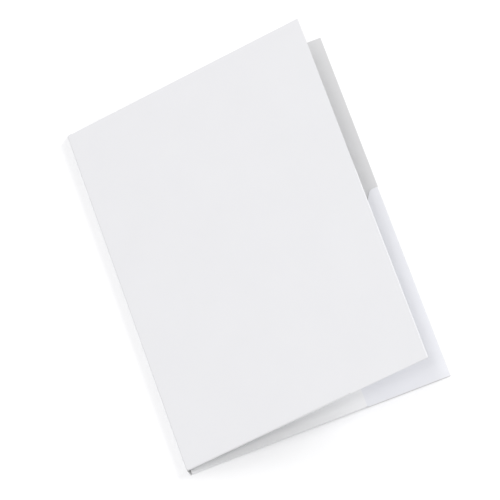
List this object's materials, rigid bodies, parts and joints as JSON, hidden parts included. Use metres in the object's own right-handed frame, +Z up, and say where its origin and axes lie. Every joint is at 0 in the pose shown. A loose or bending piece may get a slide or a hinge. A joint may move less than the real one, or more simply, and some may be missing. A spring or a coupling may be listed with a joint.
{
  "type": "two pocket folder",
  "caption": "Plain white board folder with a square spine, both covers hinged on creases, each cover with a corner pocket of a side flap and a bottom flap glued over it.",
  "frame": {"origin": "centre of the back cover's outer face, on which the folder lies", "axes": "+X from the spine to the fore edge, +Y from foot to head along the spine, +Z up from the back cover to the front cover"},
  "size_m": [0.2293, 0.316, 0.0688],
  "materials": {
    "board": "white board with a smooth matt coating outside, uncoated inside",
    "glue": "dried white glue film"
  },
  "bodies": {
    "back": {"back_cover": "board", "back_side_flap": "board", "back_bottom_flap": "board", "back_side_crease": "board", "back_bottom_crease": "board", "back_pocket_glue": "glue"},
    "spine": {"spine_panel": "board", "spine_back_crease": "board", "spine_front_crease": "board"},
    "front": {"front_cover": "board", "front_side_flap": "board", "front_bottom_flap": "board", "front_side_crease": "board", "front_bottom_crease": "board", "front_pocket_glue": "glue"}
  },
  "joints": [
    {"name": "back_fold", "type": "hinge", "parent": "back", "child": "spine", "pos_m": [-0.1135, 0, 0.00095], "axis": [0, -1, 0], "range_deg": [-15, 75], "deforming": ["spine_back_crease"]},
    {"name": "front_fold", "type": "hinge", "parent": "spine", "child": "front", "pos_m": [-0.11482, 0, 0.00588], "axis": [0, -1, 0], "range_deg": [-1, 89], "deforming": ["spine_front_crease"]}
  ]
}
